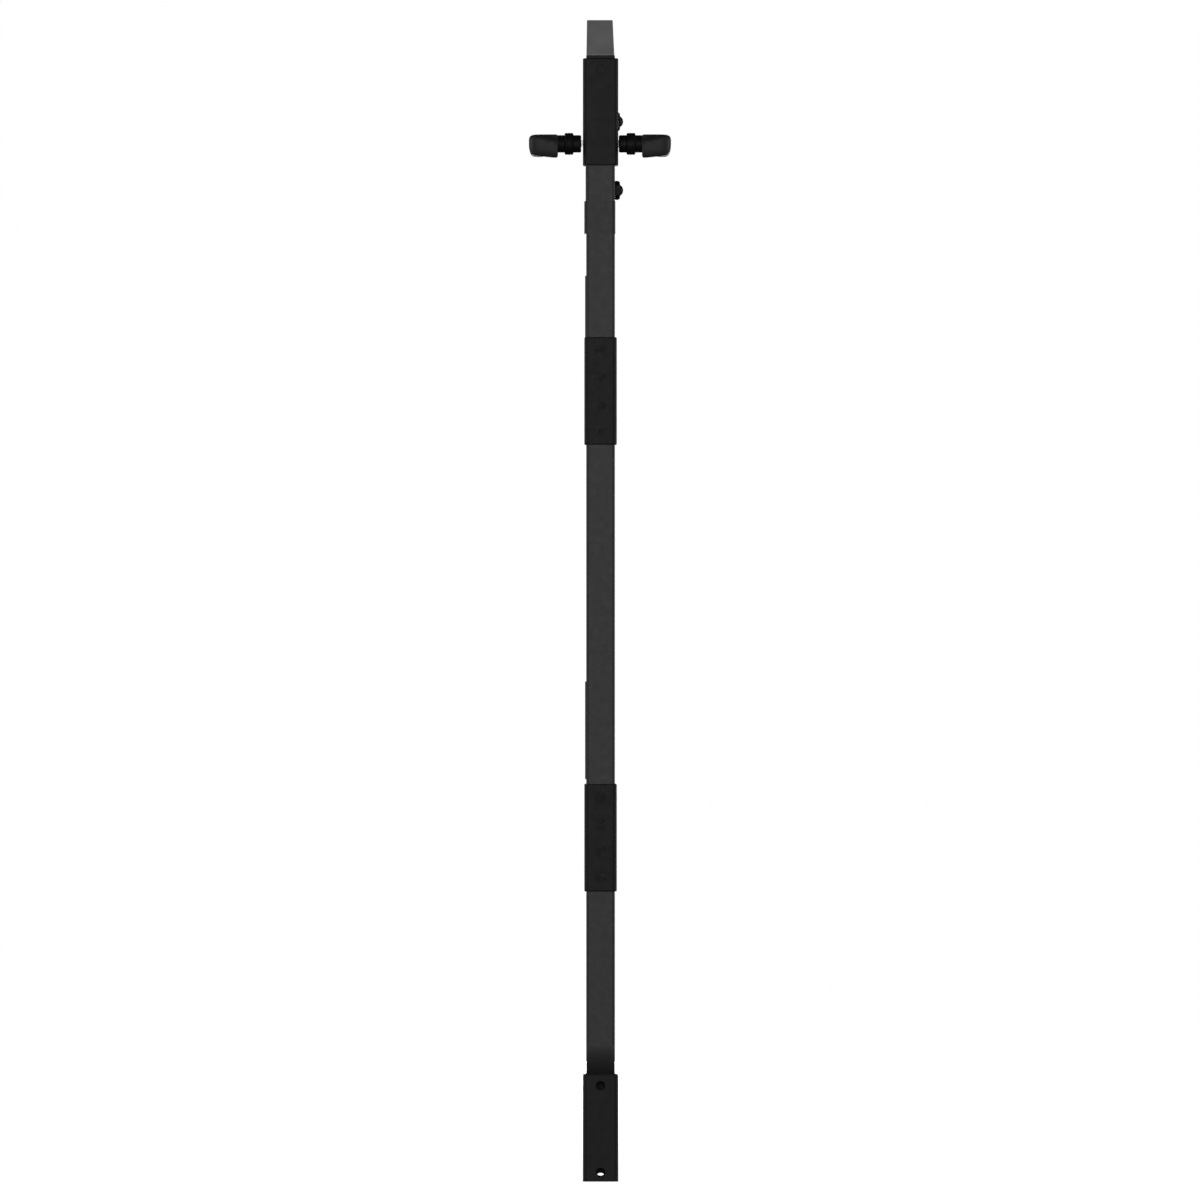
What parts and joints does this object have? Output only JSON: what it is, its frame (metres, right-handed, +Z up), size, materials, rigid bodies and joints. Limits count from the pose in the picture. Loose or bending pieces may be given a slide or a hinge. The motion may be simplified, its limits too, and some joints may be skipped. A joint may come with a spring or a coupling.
{
  "type": "door security bar",
  "caption": "Tall narrow steel door bar in sleeved lengths on a floor socket, with a two-sided lever that draws a bevelled head bolt down.",
  "frame": {"origin": "centre of the floor anchor hole, in the underside of the bottom socket", "axes": "+Z up along the bar, +Y towards the door behind it, +X to the right seen from the front"},
  "size_m": [0.1483, 0.1335, 1.2155],
  "materials": {
    "tube_coat": "satin anthracite powder coat",
    "sleeve_coat": "fine textured black powder coat",
    "head_steel": "blasted dark grey steel",
    "lever_coat": "satin black lacquer",
    "ring_nylon": "moulded black nylon",
    "black_screws": "black oxide",
    "zinc_steel": "zinc plated",
    "chassis_steel": "plain machined steel",
    "bright_steel": "drawn bright steel",
    "bush_nylon": "natural nylon",
    "spring_steel": "oiled spring wire",
    "band_steel": "black coated strip",
    "pad_rubber": "matt black rubber"
  },
  "bodies": {
    "mast": {"lower_tube": "tube_coat", "middle_tube": "tube_coat", "upper_tube": "tube_coat", "foot_spigot": "tube_coat", "lower_joint_sleeve": "sleeve_coat", "upper_joint_sleeve": "sleeve_coat", "top_housing": "sleeve_coat", "bottom_socket": "sleeve_coat", "lower_joint_screws": "black_screws", "upper_joint_screws": "black_screws", "housing_screws": "black_screws", "socket_screws": "black_screws", "foot_screws": "black_screws", "band_screws": "black_screws", "dome_nuts": "black_screws", "lower_nut_strips": "zinc_steel", "upper_nut_strips": "zinc_steel", "rear_rivet_nuts": "zinc_steel", "chassis_studs": "zinc_steel", "spring_seat": "zinc_steel", "lock_chassis": "chassis_steel", "left_bush": "bush_nylon", "right_bush": "bush_nylon", "foot_shims": "bush_nylon", "bolt_spring": "spring_steel", "clamp_band": "band_steel", "backing_plate": "band_steel", "lower_pad": "pad_rubber", "upper_pad": "pad_rubber"},
    "lever_set": {"square_spindle": "bright_steel", "follower": "chassis_steel", "drive_pin": "bright_steel", "left_lever": "lever_coat", "right_lever": "lever_coat", "left_neck_ring": "ring_nylon", "right_neck_ring": "ring_nylon", "lever_grub_screws": "black_screws"},
    "head_bolt": {"bolt_body": "sleeve_coat", "bolt_head": "head_steel", "bolt_tail": "zinc_steel", "tail_pin": "zinc_steel", "bolt_head_screws": "zinc_steel"}
  },
  "joints": [
    {"name": "lever_turn", "type": "hinge", "parent": "mast", "child": "lever_set", "pos_m": [0, 0.008, 1.0862], "axis": [1, 0, 0], "range_deg": [0, 45]},
    {"name": "head_bolt_slide", "type": "slide", "parent": "mast", "child": "head_bolt", "axis": [0, 0, 1], "range_m": [-0.0154, 0], "stiffness_N_per_m": 1200, "springref_m": 0.03, "deforming": ["bolt_spring"]}
  ],
  "couplings": [
    {"joint": "head_bolt_slide", "follows": "lever_turn", "m_per_rad": -0.01949}
  ]
}
